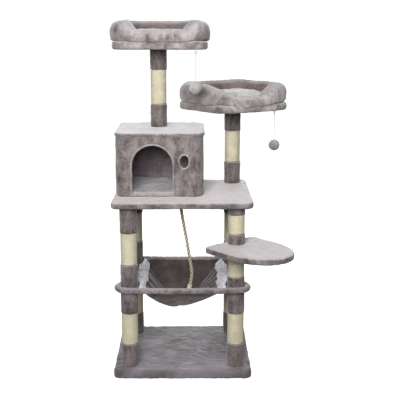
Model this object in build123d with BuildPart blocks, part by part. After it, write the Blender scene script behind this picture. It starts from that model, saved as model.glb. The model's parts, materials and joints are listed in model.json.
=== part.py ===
"""Cat tree: base, four wrapped posts, hammock, step, deck, house and two bolstered perches.

Millimetres, +Z up.  The origin is the centre of the base's underside, +X runs along the
base's long side and the front, with the doorway and the step, faces -Y.
"""

from build123d import *
import math
import os

# ---- driving dimensions ------------------------------------------------------------
BASE_LENGTH = 560
BASE_DEPTH = 520
BASE_HEIGHT = 35
SHELF_HEIGHT = 26
PLUSH = 4
BOARD_CORNER = 25
BASE_EDGE = 10
SHELF_EDGE = 9

POST_X = 217
POST_Y = 186
DECK_TOP = 733
STEP_TOP = 552
RIM_Z = 371

SLEEVE_RADIUS = 35.5
SISAL_RADIUS = 33.5
TUBE_RADIUS = 28.5
TUBE_BORE = 24.5
PLUSH_END = 94
SISAL_BAND = 133
BUTT_GAP = 0.4

STUD_RADIUS = 4
THREAD_PLAY = 0.05
PLUG_LENGTH = 22
BOLT_HEAD_RADIUS = 7
BOLT_HEAD_HEIGHT = 5
HEAD_POCKET_RADIUS = 10
HEAD_POCKET_DEPTH = 8
BLIND_DEPTH = 18

HOUSE_LEFT = -273
HOUSE_RIGHT = 86
HOUSE_FRONT = -141
HOUSE_BACK = 250
HOUSE_CORNER = 50
HOUSE_WALL_TOP = 980
HOUSE_SKIN = 4
HOUSE_BOARD = 6
HOUSE_LINING = 1.5
HOUSE_FLOOR = 15
ROOF_THICKNESS = 14
ROOF_OVERHANG = 3

DOOR_CENTRE = -121
DOOR_WIDTH = 166
DOOR_SILL = 755
DOOR_TOP = 943
WINDOW_X = 8
WINDOW_Z = 877
WINDOW_RADII = (19.5, 26.5)
BINDING = 4

PERCH_LENGTH = 378
PERCH_DEPTH = 356
PERCH_CORNER = 80
PERCH_HEIGHT = 28
BOLSTER_OVERHANG = 17
BOLSTER_CORNER = 130
BOLSTER_WIDTH = 84
BOLSTER_HEIGHT = 88
BOLSTER_DIP = 46
PAD_HEIGHT = 50
SOFT_GAP = 0.5

TOP_PERCH_AT = (-102, 97, 1320)
TOP_PERCH_SHIFT = 10
TOP_PERCH_TURN = 0
SIDE_PERCH_AT = (POST_X, POST_Y, 1059)
SIDE_PERCH_TURN = 35

RAIL_RADIUS = 12.5
RAIL_Z = 368
HEM_RADIUS = 5
BAG_WALL = 3

os.makedirs("parts", exist_ok=True)

BASE_ALIGN = (Align.CENTER, Align.CENTER, Align.MIN)
DECK_BOTTOM = DECK_TOP - SHELF_HEIGHT
STEP_BOTTOM = STEP_TOP - SHELF_HEIGHT
ROOF_TOP = HOUSE_WALL_TOP + ROOF_THICKNESS
LOWER_POSTS = {
    "front_left": (-POST_X, -POST_Y),
    "front_right": (POST_X, -POST_Y),
    "back_left": (-POST_X, POST_Y),
    "back_right": (POST_X, POST_Y),
}


def save(piece, name):
    """Label a finished piece and write it as its own STEP file."""
    piece.part.label = name
    export_step(piece.part, f"parts/{name}.step")


def drill(centres, bottom, top, radius):
    """Cut round holes through the part being built, between two heights."""
    for x, y in centres:
        with Locations((x, y, bottom)):
            Cylinder(radius, top - bottom, align=BASE_ALIGN, mode=Mode.SUBTRACT)


# ---- flat boards and their plush covers ----------------------------------------------
def slab_and_cover(prefix, bottom, height, edge, through=(), from_below=(), pockets=()):
    """A board of the base's outline and the plush that wraps it, drilled for the studs."""
    with BuildPart() as board:
        with BuildSketch(Plane.XY.offset(bottom + PLUSH)):
            RectangleRounded(BASE_LENGTH - 2 * PLUSH, BASE_DEPTH - 2 * PLUSH, BOARD_CORNER - PLUSH)
        extrude(amount=height - 2 * PLUSH)
        drill(through, bottom, bottom + height, STUD_RADIUS + THREAD_PLAY)
        drill(from_below, bottom, bottom + BLIND_DEPTH, STUD_RADIUS + THREAD_PLAY)
        drill(pockets, bottom, bottom + PLUSH + HEAD_POCKET_DEPTH, HEAD_POCKET_RADIUS)
    save(board, f"{prefix}_board")

    with BuildPart() as cover:
        with BuildSketch(Plane.XY.offset(bottom)):
            RectangleRounded(BASE_LENGTH, BASE_DEPTH, BOARD_CORNER)
        extrude(amount=height)
        rims = cover.edges().group_by(Axis.Z)
        fillet(rims[0] + rims[-1], radius=edge)
        with BuildSketch(Plane.XY.offset(bottom + PLUSH)):
            RectangleRounded(BASE_LENGTH - 2 * PLUSH, BASE_DEPTH - 2 * PLUSH, BOARD_CORNER - PLUSH)
        extrude(amount=height - 2 * PLUSH, mode=Mode.SUBTRACT)
        drill(through, bottom, bottom + height, STUD_RADIUS + THREAD_PLAY)
        drill(from_below, bottom, bottom + PLUSH, STUD_RADIUS + THREAD_PLAY)
        drill(pockets, bottom, bottom + PLUSH, HEAD_POCKET_RADIUS)
    save(cover, f"{prefix}_cover")


corner_posts = list(LOWER_POSTS.values())
blind_posts = [LOWER_POSTS["front_left"], LOWER_POSTS["front_right"], LOWER_POSTS["back_left"]]
stacked_post = [LOWER_POSTS["back_right"]]
slab_and_cover("base", 0, BASE_HEIGHT, BASE_EDGE, through=corner_posts, pockets=corner_posts)
slab_and_cover("deck", DECK_BOTTOM, SHELF_HEIGHT, SHELF_EDGE, through=stacked_post, from_below=blind_posts)


# ---- step: a D-shaped shelf clamped between two tubes of the front right post ---------
STEP_HALF_WIDTH = 136
STEP_STRAIGHT = 140
STEP_REACH = 182
STEP_BACK_CORNER = 22
STEP_POST_INSET = 45
STEP_TURN = 40
step_angle = math.radians(STEP_TURN)
step_plane = Plane(
    origin=(POST_X, -POST_Y, STEP_BOTTOM),
    x_dir=(math.cos(step_angle), math.sin(step_angle), 0),
    z_dir=(0, 0, 1),
)


def step_outline(inset):
    """D outline about the post: straight back edge, parallel sides and a half-oval nose."""
    back = STEP_POST_INSET - inset
    nose = STEP_POST_INSET - STEP_STRAIGHT
    half = STEP_HALF_WIDTH - inset
    with BuildSketch() as outline:
        with Locations((0, nose)):
            Ellipse(half, STEP_REACH - inset)
            Rectangle(2 * half, back - nose, align=(Align.CENTER, Align.MIN))
        with Locations((0, back)):
            Rectangle(2 * half, STEP_REACH, align=(Align.CENTER, Align.MIN), mode=Mode.SUBTRACT)
        corners = outline.vertices().sort_by(Axis.Y)[-2:]
        fillet(corners, radius=STEP_BACK_CORNER - inset)
    return outline.sketch


with BuildPart() as step_board:
    with BuildSketch(step_plane.offset(PLUSH)):
        add(step_outline(PLUSH))
    extrude(amount=SHELF_HEIGHT - 2 * PLUSH)
    drill([LOWER_POSTS["front_right"]], STEP_BOTTOM, STEP_TOP, STUD_RADIUS + THREAD_PLAY)
save(step_board, "step_board")

with BuildPart() as step_cover:
    with BuildSketch(step_plane):
        add(step_outline(0))
    extrude(amount=SHELF_HEIGHT)
    step_rims = step_cover.edges().group_by(Axis.Z)
    fillet(step_rims[0] + step_rims[-1], radius=SHELF_EDGE)
    add(step_board.part, mode=Mode.SUBTRACT)
    drill([LOWER_POSTS["front_right"]], STEP_BOTTOM, STEP_TOP, STUD_RADIUS + THREAD_PLAY)
save(step_cover, "step_cover")


# ---- posts: cardboard tubes, plush sleeves at their ends and a sisal band between ------
def tube_span(bottom, top, plush_end=PLUSH_END, sisal_band=SISAL_BAND):
    """One tube of a post: where it starts and ends, and where its sisal starts and ends."""
    gap = BUTT_GAP / 2
    return (bottom + gap, bottom + plush_end, bottom + plush_end + sisal_band, top - gap)


def rings(centre, spans, outer, inner, name):
    """Hollow cylinders about one post axis, one for each span of heights."""
    with BuildPart() as piece:
        for bottom, top in spans:
            with BuildSketch(Plane.XY.offset(bottom)):
                with Locations(centre):
                    Circle(outer)
                    Circle(inner, mode=Mode.SUBTRACT)
            extrude(amount=top - bottom)
    save(piece, name)


def post(name, centre, tubes):
    """The tubes of one post, their plush sleeves and their sisal bands, as three nodes."""
    cores = [(low, high) for low, _, _, high in tubes]
    bands = [(start, end) for _, start, end, _ in tubes]
    sleeves = [(low, start) for low, start, _, _ in tubes]
    sleeves += [(end, high) for _, _, end, high in tubes if high - end > 1]
    rings(centre, cores, TUBE_RADIUS, TUBE_BORE, f"{name}_post_tubes")
    rings(centre, sleeves, SLEEVE_RADIUS, TUBE_RADIUS, f"{name}_post_sleeves")
    rings(centre, bands, SISAL_RADIUS, TUBE_RADIUS, f"{name}_post_sisal")


lower_tube = tube_span(BASE_HEIGHT, RIM_Z)
upper_tube = tube_span(RIM_Z, DECK_BOTTOM)
under_step_tube = tube_span(RIM_Z, STEP_BOTTOM, 42, STEP_BOTTOM - RIM_Z - 42 - BUTT_GAP / 2)
over_step_tube = tube_span(STEP_TOP, DECK_BOTTOM, 40, 81)
two_tube_posts = ("front_left", "back_left", "back_right")
for corner in two_tube_posts:
    post(corner, LOWER_POSTS[corner], [lower_tube, upper_tube])
post("front_right", LOWER_POSTS["front_right"], [lower_tube, under_step_tube, over_step_tube])

top_x, top_y, top_perch_bottom = TOP_PERCH_AT
side_x, side_y, side_perch_bottom = SIDE_PERCH_AT
top_tube = tube_span(ROOF_TOP, top_perch_bottom, sisal_band=146)
side_tube = tube_span(DECK_TOP, side_perch_bottom, sisal_band=139)
post("top", (top_x, top_y), [top_tube])
post("side", (side_x, side_y), [side_tube])

# wooden plugs glued into both ends of every tube, threaded for the studs and bolts
stacks = [(LOWER_POSTS[corner], [lower_tube, upper_tube]) for corner in two_tube_posts]
stacks.append((LOWER_POSTS["front_right"], [lower_tube, under_step_tube, over_step_tube]))
stacks.append(((top_x, top_y), [top_tube]))
stacks.append(((side_x, side_y), [side_tube]))
with BuildPart() as end_plugs:
    for centre, tubes in stacks:
        for low, _, _, high in tubes:
            for plug_bottom in (low, high - PLUG_LENGTH):
                with BuildSketch(Plane.XY.offset(plug_bottom)):
                    with Locations(centre):
                        Circle(TUBE_BORE)
                        Circle(STUD_RADIUS + THREAD_PLAY, mode=Mode.SUBTRACT)
                extrude(amount=PLUG_LENGTH)
save(end_plugs, "post_end_plugs")

# ---- studs that join the stacked tubes and hold the shelves, and the headed bolts ------
STUD_BITE = 20
stud_spans = [(centre, RIM_Z - STUD_BITE, RIM_Z + STUD_BITE) for centre in corner_posts]
stud_spans += [(centre, DECK_BOTTOM - STUD_BITE, DECK_BOTTOM + BLIND_DEPTH) for centre in blind_posts]
stud_spans.append((LOWER_POSTS["back_right"], DECK_BOTTOM - STUD_BITE, DECK_TOP + STUD_BITE))
stud_spans.append((LOWER_POSTS["front_right"], STEP_BOTTOM - STUD_BITE, STEP_TOP + STUD_BITE))
with BuildPart() as studs:
    for (x, y), low, high in stud_spans:
        with Locations((x, y, low)):
            Cylinder(STUD_RADIUS, high - low, align=BASE_ALIGN)
save(studs, "joining_studs")


def bolt(x, y, seat, tip):
    """Hexagon-headed bolt on a post axis, from under its head to the tip of its shank."""
    upward = 1 if tip > seat else -1
    with BuildPart() as piece:
        with BuildSketch(Plane.XY.offset(seat)):
            with Locations((x, y)):
                RegularPolygon(BOLT_HEAD_RADIUS, 6)
        extrude(amount=-upward * BOLT_HEAD_HEIGHT)
        with BuildSketch(Plane.XY.offset(seat)):
            with Locations((x, y)):
                Circle(STUD_RADIUS)
        extrude(amount=tip - seat)
    return piece.part


base_seat = PLUSH + HEAD_POCKET_DEPTH
roof_seat = HOUSE_WALL_TOP
top_seat = top_perch_bottom + PERCH_HEIGHT - PLUSH - HEAD_POCKET_DEPTH
side_seat = side_perch_bottom + PERCH_HEIGHT - PLUSH - HEAD_POCKET_DEPTH
with BuildPart() as bolts:
    for x, y in corner_posts:
        add(bolt(x, y, base_seat, BASE_HEIGHT + STUD_BITE))
    add(bolt(top_x, top_y, roof_seat, ROOF_TOP + STUD_BITE))
    add(bolt(top_x, top_y, top_seat, top_perch_bottom - STUD_BITE))
    add(bolt(side_x, side_y, side_seat, side_perch_bottom - STUD_BITE))
save(bolts, "board_bolts")


# ---- house: bent hardboard walls between a floor and a roof, inside a plush skin -------
HOUSE_CENTRE = ((HOUSE_LEFT + HOUSE_RIGHT) / 2, (HOUSE_FRONT + HOUSE_BACK) / 2)
HOUSE_LENGTH = HOUSE_RIGHT - HOUSE_LEFT
HOUSE_DEPTH = HOUSE_BACK - HOUSE_FRONT
WALL_SPLIT = HOUSE_FRONT + HOUSE_CORNER + 15
wall_outside = HOUSE_SKIN
wall_inside = HOUSE_SKIN + HOUSE_BOARD
lining_inside = wall_inside + HOUSE_LINING


def house_plan(inset):
    """Rounded rectangle of the house, drawn inside its outer face by an inset."""
    with Locations(HOUSE_CENTRE):
        RectangleRounded(HOUSE_LENGTH - 2 * inset, HOUSE_DEPTH - 2 * inset, HOUSE_CORNER - inset)


def house_ring(outer_inset, inner_inset):
    """Plan of one layer of the house's wall."""
    with BuildSketch() as plan:
        with Locations(HOUSE_CENTRE):
            RectangleRounded(
                HOUSE_LENGTH - 2 * outer_inset, HOUSE_DEPTH - 2 * outer_inset, HOUSE_CORNER - outer_inset
            )
            RectangleRounded(
                HOUSE_LENGTH - 2 * inner_inset,
                HOUSE_DEPTH - 2 * inner_inset,
                HOUSE_CORNER - inner_inset,
                mode=Mode.SUBTRACT,
            )
    return plan.sketch


def doorway(margin):
    """Arched doorway seen from the front, grown outwards by a margin."""
    radius = DOOR_WIDTH / 2 + margin
    spring = DOOR_TOP - DOOR_WIDTH / 2
    with BuildSketch() as arch:
        with Locations((DOOR_CENTRE, spring)):
            Circle(radius)
            Rectangle(2 * radius, spring - DOOR_SILL + margin, align=(Align.CENTER, Align.MAX))
    return arch.sketch


def window(margin):
    """Small oval window seen from the front, grown outwards by a margin."""
    with BuildSketch() as oval:
        with Locations((WINDOW_X, WINDOW_Z)):
            Ellipse(WINDOW_RADII[0] + margin, WINDOW_RADII[1] + margin)
    return oval.sketch


front_plane = Plane.XZ.offset(-HOUSE_FRONT)
with BuildPart() as front_openings:
    with BuildSketch(front_plane.offset(BINDING + 1)):
        add(doorway(BINDING))
        add(window(BINDING))
    extrude(amount=-(BINDING + 1 + HOUSE_CORNER / 2))

with BuildPart() as house_floor:
    with BuildSketch(Plane.XY.offset(DECK_TOP)):
        house_plan(wall_inside)
    extrude(amount=HOUSE_FLOOR)
save(house_floor, "house_floor")

with BuildPart() as front_wall:
    with BuildSketch(Plane.XY.offset(DECK_TOP)):
        add(house_ring(wall_outside, wall_inside))
        with Locations((HOUSE_CENTRE[0], WALL_SPLIT)):
            Rectangle(HOUSE_LENGTH, HOUSE_DEPTH, align=(Align.CENTER, Align.MIN), mode=Mode.SUBTRACT)
    extrude(amount=HOUSE_WALL_TOP - DECK_TOP)
    add(front_openings.part, mode=Mode.SUBTRACT)
save(front_wall, "house_front_wall")

with BuildPart() as back_wall:
    with BuildSketch(Plane.XY.offset(DECK_TOP)):
        add(house_ring(wall_outside, wall_inside))
        with Locations((HOUSE_CENTRE[0], WALL_SPLIT)):
            Rectangle(HOUSE_LENGTH, HOUSE_DEPTH, align=(Align.CENTER, Align.MAX), mode=Mode.SUBTRACT)
    extrude(amount=HOUSE_WALL_TOP - DECK_TOP)
save(back_wall, "house_back_wall")

with BuildPart() as house_cover:
    with BuildSketch(Plane.XY.offset(DECK_TOP)):
        add(house_ring(0, wall_outside))
    extrude(amount=HOUSE_WALL_TOP - DECK_TOP)
    add(front_openings.part, mode=Mode.SUBTRACT)
save(house_cover, "house_cover")

with BuildPart() as house_lining:
    with BuildSketch(Plane.XY.offset(DECK_TOP + HOUSE_FLOOR)):
        add(house_ring(wall_inside, lining_inside))
    extrude(amount=HOUSE_WALL_TOP - DECK_TOP - HOUSE_FLOOR)
    add(front_openings.part, mode=Mode.SUBTRACT)
save(house_lining, "house_lining")


def binding(outline, name):
    """Rolled plush edge of an opening: a band through the wall, proud of it in front."""
    with BuildPart() as band:
        with BuildSketch(front_plane.offset(BINDING)):
            add(outline(BINDING))
            add(outline(0), mode=Mode.SUBTRACT)
        extrude(amount=-(BINDING + lining_inside))
        fillet(band.faces().sort_by(Axis.Y)[0].edges(), radius=BINDING * 0.4)
    save(band, name)


binding(doorway, "doorway_binding")
binding(window, "window_binding")

with BuildPart() as roof_board:
    with BuildSketch(Plane.XY.offset(HOUSE_WALL_TOP + PLUSH)):
        house_plan(PLUSH - ROOF_OVERHANG)
    extrude(amount=ROOF_THICKNESS - 2 * PLUSH)
    drill([(top_x, top_y)], HOUSE_WALL_TOP, ROOF_TOP, STUD_RADIUS + THREAD_PLAY)
save(roof_board, "roof_board")

with BuildPart() as roof_cover:
    with BuildSketch(Plane.XY.offset(HOUSE_WALL_TOP)):
        house_plan(-ROOF_OVERHANG)
    extrude(amount=ROOF_THICKNESS)
    roof_rims = roof_cover.edges().group_by(Axis.Z)
    fillet(roof_rims[0] + roof_rims[-1], radius=5)
    with BuildSketch(Plane.XY.offset(HOUSE_WALL_TOP + PLUSH)):
        house_plan(PLUSH - ROOF_OVERHANG)
    extrude(amount=ROOF_THICKNESS - 2 * PLUSH, mode=Mode.SUBTRACT)
    drill([(top_x, top_y)], HOUSE_WALL_TOP, ROOF_TOP, STUD_RADIUS + THREAD_PLAY)
save(roof_cover, "roof_cover")


# ---- perches: a covered board, a stuffed bolster round its rim and a loose pad ---------
def perch(prefix, place, shift, turn, dip_middle, dip_half, dip_slope):
    """Four nodes of one perch on its post, whose low front rim faces its own -Y side."""
    angle = math.radians(turn)
    middle = (place[0] + shift, place[1], place[2])
    plane = Plane(origin=middle, x_dir=(math.cos(angle), math.sin(angle), 0), z_dir=(0, 0, 1))
    axis = [(place[0], place[1])]
    seat = place[2] + PERCH_HEIGHT - PLUSH - HEAD_POCKET_DEPTH

    with BuildPart() as board:
        with BuildSketch(plane.offset(PLUSH)):
            RectangleRounded(PERCH_LENGTH - 2 * PLUSH, PERCH_DEPTH - 2 * PLUSH, PERCH_CORNER - PLUSH)
        extrude(amount=PERCH_HEIGHT - 2 * PLUSH)
        drill(axis, place[2], place[2] + PERCH_HEIGHT, STUD_RADIUS + THREAD_PLAY)
        drill(axis, seat, place[2] + PERCH_HEIGHT, HEAD_POCKET_RADIUS)
    save(board, f"{prefix}_perch_board")

    with BuildPart() as cover:
        with BuildSketch(plane):
            RectangleRounded(PERCH_LENGTH, PERCH_DEPTH, PERCH_CORNER)
        extrude(amount=PERCH_HEIGHT)
        rims = cover.edges().group_by(Axis.Z)
        fillet(rims[0] + rims[-1], radius=SHELF_EDGE)
        with BuildSketch(plane.offset(PLUSH)):
            RectangleRounded(PERCH_LENGTH - 2 * PLUSH, PERCH_DEPTH - 2 * PLUSH, PERCH_CORNER - PLUSH)
        extrude(amount=PERCH_HEIGHT - 2 * PLUSH, mode=Mode.SUBTRACT)
        drill(axis, place[2], place[2] + PLUSH, STUD_RADIUS + THREAD_PLAY)
        drill(axis, seat, place[2] + PERCH_HEIGHT, HEAD_POCKET_RADIUS)
    save(cover, f"{prefix}_perch_cover")

    length = PERCH_LENGTH + 2 * BOLSTER_OVERHANG
    depth = PERCH_DEPTH + 2 * BOLSTER_OVERHANG
    hollow_length = length - 2 * BOLSTER_WIDTH
    hollow_depth = depth - 2 * BOLSTER_WIDTH
    hollow_corner = 55
    with BuildPart() as bolster:
        with BuildSketch(plane.offset(PERCH_HEIGHT)):
            RectangleRounded(length, depth, BOLSTER_CORNER)
        extrude(amount=BOLSTER_HEIGHT)
        rims = bolster.edges().group_by(Axis.Z)
        fillet(rims[0], radius=20)
        rims = bolster.edges().group_by(Axis.Z)
        fillet(rims[-1], radius=38)
        with BuildSketch(plane.offset(PERCH_HEIGHT)):
            RectangleRounded(hollow_length, hollow_depth, hollow_corner)
        extrude(amount=BOLSTER_HEIGHT, mode=Mode.SUBTRACT)
        front = Plane(origin=plane.origin, x_dir=plane.x_dir, z_dir=-plane.y_dir)
        with BuildSketch(front.offset(depth / 2 - BOLSTER_WIDTH - 5)):
            with BuildLine():
                Polyline(
                    (dip_middle - dip_half - dip_slope, PERCH_HEIGHT + BOLSTER_HEIGHT + 1),
                    (dip_middle - dip_half, PERCH_HEIGHT + BOLSTER_DIP),
                    (dip_middle + dip_half, PERCH_HEIGHT + BOLSTER_DIP),
                    (dip_middle + dip_half + dip_slope, PERCH_HEIGHT + BOLSTER_HEIGHT + 1),
                    close=True,
                )
            make_face()
        extrude(amount=BOLSTER_WIDTH + 20, mode=Mode.SUBTRACT)
    save(bolster, f"{prefix}_perch_bolster")

    with BuildPart() as pad:
        with BuildSketch(plane.offset(PERCH_HEIGHT)):
            pad_length = hollow_length - 2 * SOFT_GAP
            pad_depth = hollow_depth - 2 * SOFT_GAP
            RectangleRounded(pad_length, pad_depth, hollow_corner - SOFT_GAP)
        extrude(amount=PAD_HEIGHT)
        fillet(pad.edges().group_by(Axis.Z)[-1], radius=16)
    save(pad, f"{prefix}_perch_pad")


perch("top", TOP_PERCH_AT, TOP_PERCH_SHIFT, TOP_PERCH_TURN, 0, 90, 40)
perch("side", SIDE_PERCH_AT, 0, SIDE_PERCH_TURN, -40, 60, 75)


# ---- hammock: two padded rails hooked round the posts, side hems and a sagging bag ------
rail_offset = SLEEVE_RADIUS + RAIL_RADIUS + SOFT_GAP
rail_y = POST_Y + rail_offset


def rail(side, name):
    """Padded rail across two posts, each end curled round the outside of its post."""
    with BuildPart() as padded_rail:
        with BuildLine() as path:
            CenterArc((-POST_X, side * POST_Y, RAIL_Z), rail_offset, side * -90, side * -180)
            Line((-POST_X, side * rail_y, RAIL_Z), (POST_X, side * rail_y, RAIL_Z))
            CenterArc((POST_X, side * POST_Y, RAIL_Z), rail_offset, side * 90, side * -180)
        start = path.wire() @ 0
        heading = path.wire() % 0
        with BuildSketch(Plane(origin=start, z_dir=heading)):
            Circle(RAIL_RADIUS)
        sweep()
    save(padded_rail, name)


rail(-1, "hammock_front_rail")
rail(1, "hammock_back_rail")

hem_x = POST_X - SLEEVE_RADIUS - HEM_RADIUS - SOFT_GAP
bag_half_length = hem_x - HEM_RADIUS - SOFT_GAP
bag_half_depth = rail_y - RAIL_RADIUS - SOFT_GAP
with BuildPart() as side_hems:
    with BuildSketch(Plane.XZ.offset(-bag_half_depth)):
        with Locations((-hem_x, RAIL_Z), (hem_x, RAIL_Z)):
            Circle(HEM_RADIUS)
    extrude(amount=2 * bag_half_depth)
save(side_hems, "hammock_side_hems")

BAG_BOTTOM = 232
bag_levels = (
    (RAIL_Z, 1.0, 12),
    (322, 0.72, 20),
    (278, 0.43, 20),
    (BAG_BOTTOM, 0.15, 12),
)

with BuildPart() as bag_hollow:
    for level, share, corner in bag_levels:
        height = level if level == RAIL_Z else level + BAG_WALL
        with BuildSketch(Plane.XY.offset(height)):
            length = 2 * (bag_half_length * share - BAG_WALL)
            depth = 2 * (bag_half_depth * share - BAG_WALL)
            RectangleRounded(length, depth, corner - BAG_WALL)
    loft()

with BuildPart() as hammock_bag:
    for level, share, corner in bag_levels:
        with BuildSketch(Plane.XY.offset(level)):
            RectangleRounded(2 * bag_half_length * share, 2 * bag_half_depth * share, corner)
    loft()
    add(bag_hollow.part, mode=Mode.SUBTRACT)
save(hammock_bag, "hammock_bag")


# ---- hanging toys and play rope: staple, linked rings, cord and what is on it ----------
RING_PLAY = 0.3
STRING_RADIUS = 0.9
STRING_WIRE = 1.0
STRING_STAPLE_DROP = 6
ROPE_RADIUS = 6
ROPE_WIRE = 1.2
ROPE_STAPLE_DROP = 7

TOP_TOY_AT = (54, -66, 1169)
TOP_TOY_RADIUS = 27
SIDE_TOY_AT = (394, 122, 909)
SIDE_TOY_RADIUS = 24
ROPE_STAPLE_AT = (-9, -50)


def hook_lift(wire):
    """How far a ring's near side stands over the wire that the ring hooks over."""
    return 2 * wire + RING_PLAY


def pivots(ceiling, drop, wire):
    """Heights of the staple's crown, the link's far side and the eye's far side."""
    crown = ceiling - drop
    link_low = crown - 3 * hook_lift(wire)
    eye_low = link_low - 2 * hook_lift(wire)
    return crown, link_low, eye_low


def staple(x, y, ceiling, drop, wire):
    """Wire staple under a board, its legs against the board and its crown along X."""
    half = 5 * wire
    with BuildPart() as piece:
        with BuildLine() as path:
            FilletPolyline(
                (x - half, y, ceiling),
                (x - half, y, ceiling - drop),
                (x + half, y, ceiling - drop),
                (x + half, y, ceiling),
                radius=2 * wire,
            )
        with BuildSketch(Plane(origin=path.wire() @ 0, z_dir=path.wire() % 0)):
            Circle(wire)
        sweep(path=path.wire())
    return piece.part


def ring(x, y, height, normal, radius, wire):
    """Closed wire ring about a centre."""
    with BuildPart() as piece:
        with Locations(Plane(origin=(x, y, height), z_dir=normal)):
            Torus(radius, wire)
    return piece.part


def link(x, y, ceiling, drop, wire, name):
    """Ring hooked over the staple's crown, in the plane across it."""
    crown, link_low, _ = pivots(ceiling, drop, wire)
    with BuildPart() as piece:
        add(ring(x, y, (crown + hook_lift(wire) + link_low) / 2, (1, 0, 0), 2 * hook_lift(wire), wire))
    save(piece, name)


def eye(x, y, ceiling, drop, wire):
    """Ring hooked over the link's far side, in the staple's own plane."""
    _, link_low, eye_low = pivots(ceiling, drop, wire)
    return ring(x, y, (link_low + hook_lift(wire) + eye_low) / 2, (0, 1, 0), 1.5 * hook_lift(wire), wire)


with BuildPart() as staples:
    add(staple(TOP_TOY_AT[0], TOP_TOY_AT[1], top_perch_bottom, STRING_STAPLE_DROP, STRING_WIRE))
    add(staple(SIDE_TOY_AT[0], SIDE_TOY_AT[1], side_perch_bottom, STRING_STAPLE_DROP, STRING_WIRE))
    add(staple(ROPE_STAPLE_AT[0], ROPE_STAPLE_AT[1], DECK_BOTTOM, ROPE_STAPLE_DROP, ROPE_WIRE))
save(staples, "toy_staples")


def toy(prefix, place, radius, ceiling):
    """Pompom on a string that hangs from a staple: link, eye, string and pompom."""
    x, y, height = place
    _, _, eye_low = pivots(ceiling, STRING_STAPLE_DROP, STRING_WIRE)
    link(x, y, ceiling, STRING_STAPLE_DROP, STRING_WIRE, f"{prefix}_toy_link")

    with BuildPart() as string_eye:
        add(eye(x, y, ceiling, STRING_STAPLE_DROP, STRING_WIRE))
    save(string_eye, f"{prefix}_toy_eye")

    low = height + radius
    with BuildPart() as string:
        with Locations((x, y, low)):
            Cylinder(STRING_RADIUS, eye_low - STRING_WIRE - low, align=BASE_ALIGN)
    save(string, f"{prefix}_toy_string")

    with BuildPart() as pompom:
        with Locations((x, y, height)):
            Sphere(radius)
    save(pompom, f"{prefix}_toy_pompom")


toy("top", TOP_TOY_AT, TOP_TOY_RADIUS, top_perch_bottom)
toy("side", SIDE_TOY_AT, SIDE_TOY_RADIUS, side_perch_bottom)

# play rope: leans out from its eye and curls back at the end, inside the hammock
rope_x, rope_y = ROPE_STAPLE_AT
_, _, rope_eye_low = pivots(DECK_BOTTOM, ROPE_STAPLE_DROP, ROPE_WIRE)
ROPE_ROUTE = (
    (rope_x, rope_y, rope_eye_low - ROPE_WIRE),
    (-4, -50, 645),
    (5, -51, 592),
    (17, -52, 530),
    (26, -52, 468),
    (36, -50, 412),
    (39, -48, 372),
    (31, -47, 336),
)
KNOT_RADIUS = 10
KNOT_LENGTH = 22


def bend_radii(route):
    """Radius of each corner's arc: 0.45 of the shorter run, over the tangent of half the turn."""
    points = [Vector(*point) for point in route]
    runs = [after - before for before, after in zip(points, points[1:])]
    radii = []
    for before, after in zip(runs, runs[1:]):
        half_turn = math.radians(before.get_angle(after)) / 2
        radii.append(0.45 * min(before.length, after.length) / math.tan(half_turn))
    return radii


rope_radii = bend_radii(ROPE_ROUTE)
print("play rope bend radii, mm:", [round(radius) for radius in rope_radii])
with BuildPart() as play_rope:
    with BuildLine() as rope_path:
        FilletPolyline(*ROPE_ROUTE, radius=rope_radii)
    rope_wire = rope_path.wire()
    with BuildSketch(Plane(origin=rope_wire @ 0, z_dir=rope_wire % 0)):
        Circle(ROPE_RADIUS)
    sweep(path=rope_wire)
save(play_rope, "play_rope")
rope_volume = math.pi * ROPE_RADIUS**2 * rope_wire.length
print(f"play rope length {rope_wire.length:.1f} mm")
print(f"play rope volume {play_rope.part.volume / rope_volume:.4f} of section x length")

link(rope_x, rope_y, DECK_BOTTOM, ROPE_STAPLE_DROP, ROPE_WIRE, "rope_link")
with BuildPart() as rope_ends:
    add(eye(rope_x, rope_y, DECK_BOTTOM, ROPE_STAPLE_DROP, ROPE_WIRE))
    with BuildSketch(Plane(origin=rope_wire @ 1, z_dir=rope_wire % 1)):
        Circle(KNOT_RADIUS)
    extrude(amount=KNOT_LENGTH)
    knot = rope_ends.solids().sort_by(Axis.Z)[0]
    fillet(knot.edges().filter_by(GeomType.CIRCLE), radius=KNOT_RADIUS * 0.55)
save(rope_ends, "rope_ends")
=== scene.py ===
"""Looks of the cat tree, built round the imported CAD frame.  Metres, +Z up, doorway towards -Y."""

import json
import math

import bpy
import numpy as np
from mathutils import Matrix, Vector
from mathutils.kdtree import KDTree


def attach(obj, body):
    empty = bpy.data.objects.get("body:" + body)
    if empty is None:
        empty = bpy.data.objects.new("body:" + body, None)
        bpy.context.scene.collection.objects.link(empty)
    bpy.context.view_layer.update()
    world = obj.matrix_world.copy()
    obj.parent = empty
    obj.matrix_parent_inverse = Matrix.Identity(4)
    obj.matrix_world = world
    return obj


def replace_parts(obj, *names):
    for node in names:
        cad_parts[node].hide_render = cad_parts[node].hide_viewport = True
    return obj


WORLD_LIGHT = 0.17
TOP_LIGHT = 0.3
KEY_LIGHT = 60
BACK_LIGHT = 38
WHITE = 1.05

POST_X = 0.217
POST_Y = 0.186
BASE_PLAN = (0.560, 0.520, 0.025)
DECK_PILE = 0.7335
HOUSE_AT = (-0.0935, 0.0545)
HOUSE_PLAN = (0.359, 0.391, 0.050)
WALL_TOP = 0.9795
ROOF_TOP = 0.994
DOOR_X = -0.121
DOOR_HALF = 0.083
SILL_Z = 0.755
ARCH_Z = 0.860
WINDOW_X = 0.008
WINDOW_Z = 0.877
SIDE_PERCH_Z = 1.059
TOP_PERCH_Z = 1.320
RAIL_Z = 0.368

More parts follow.
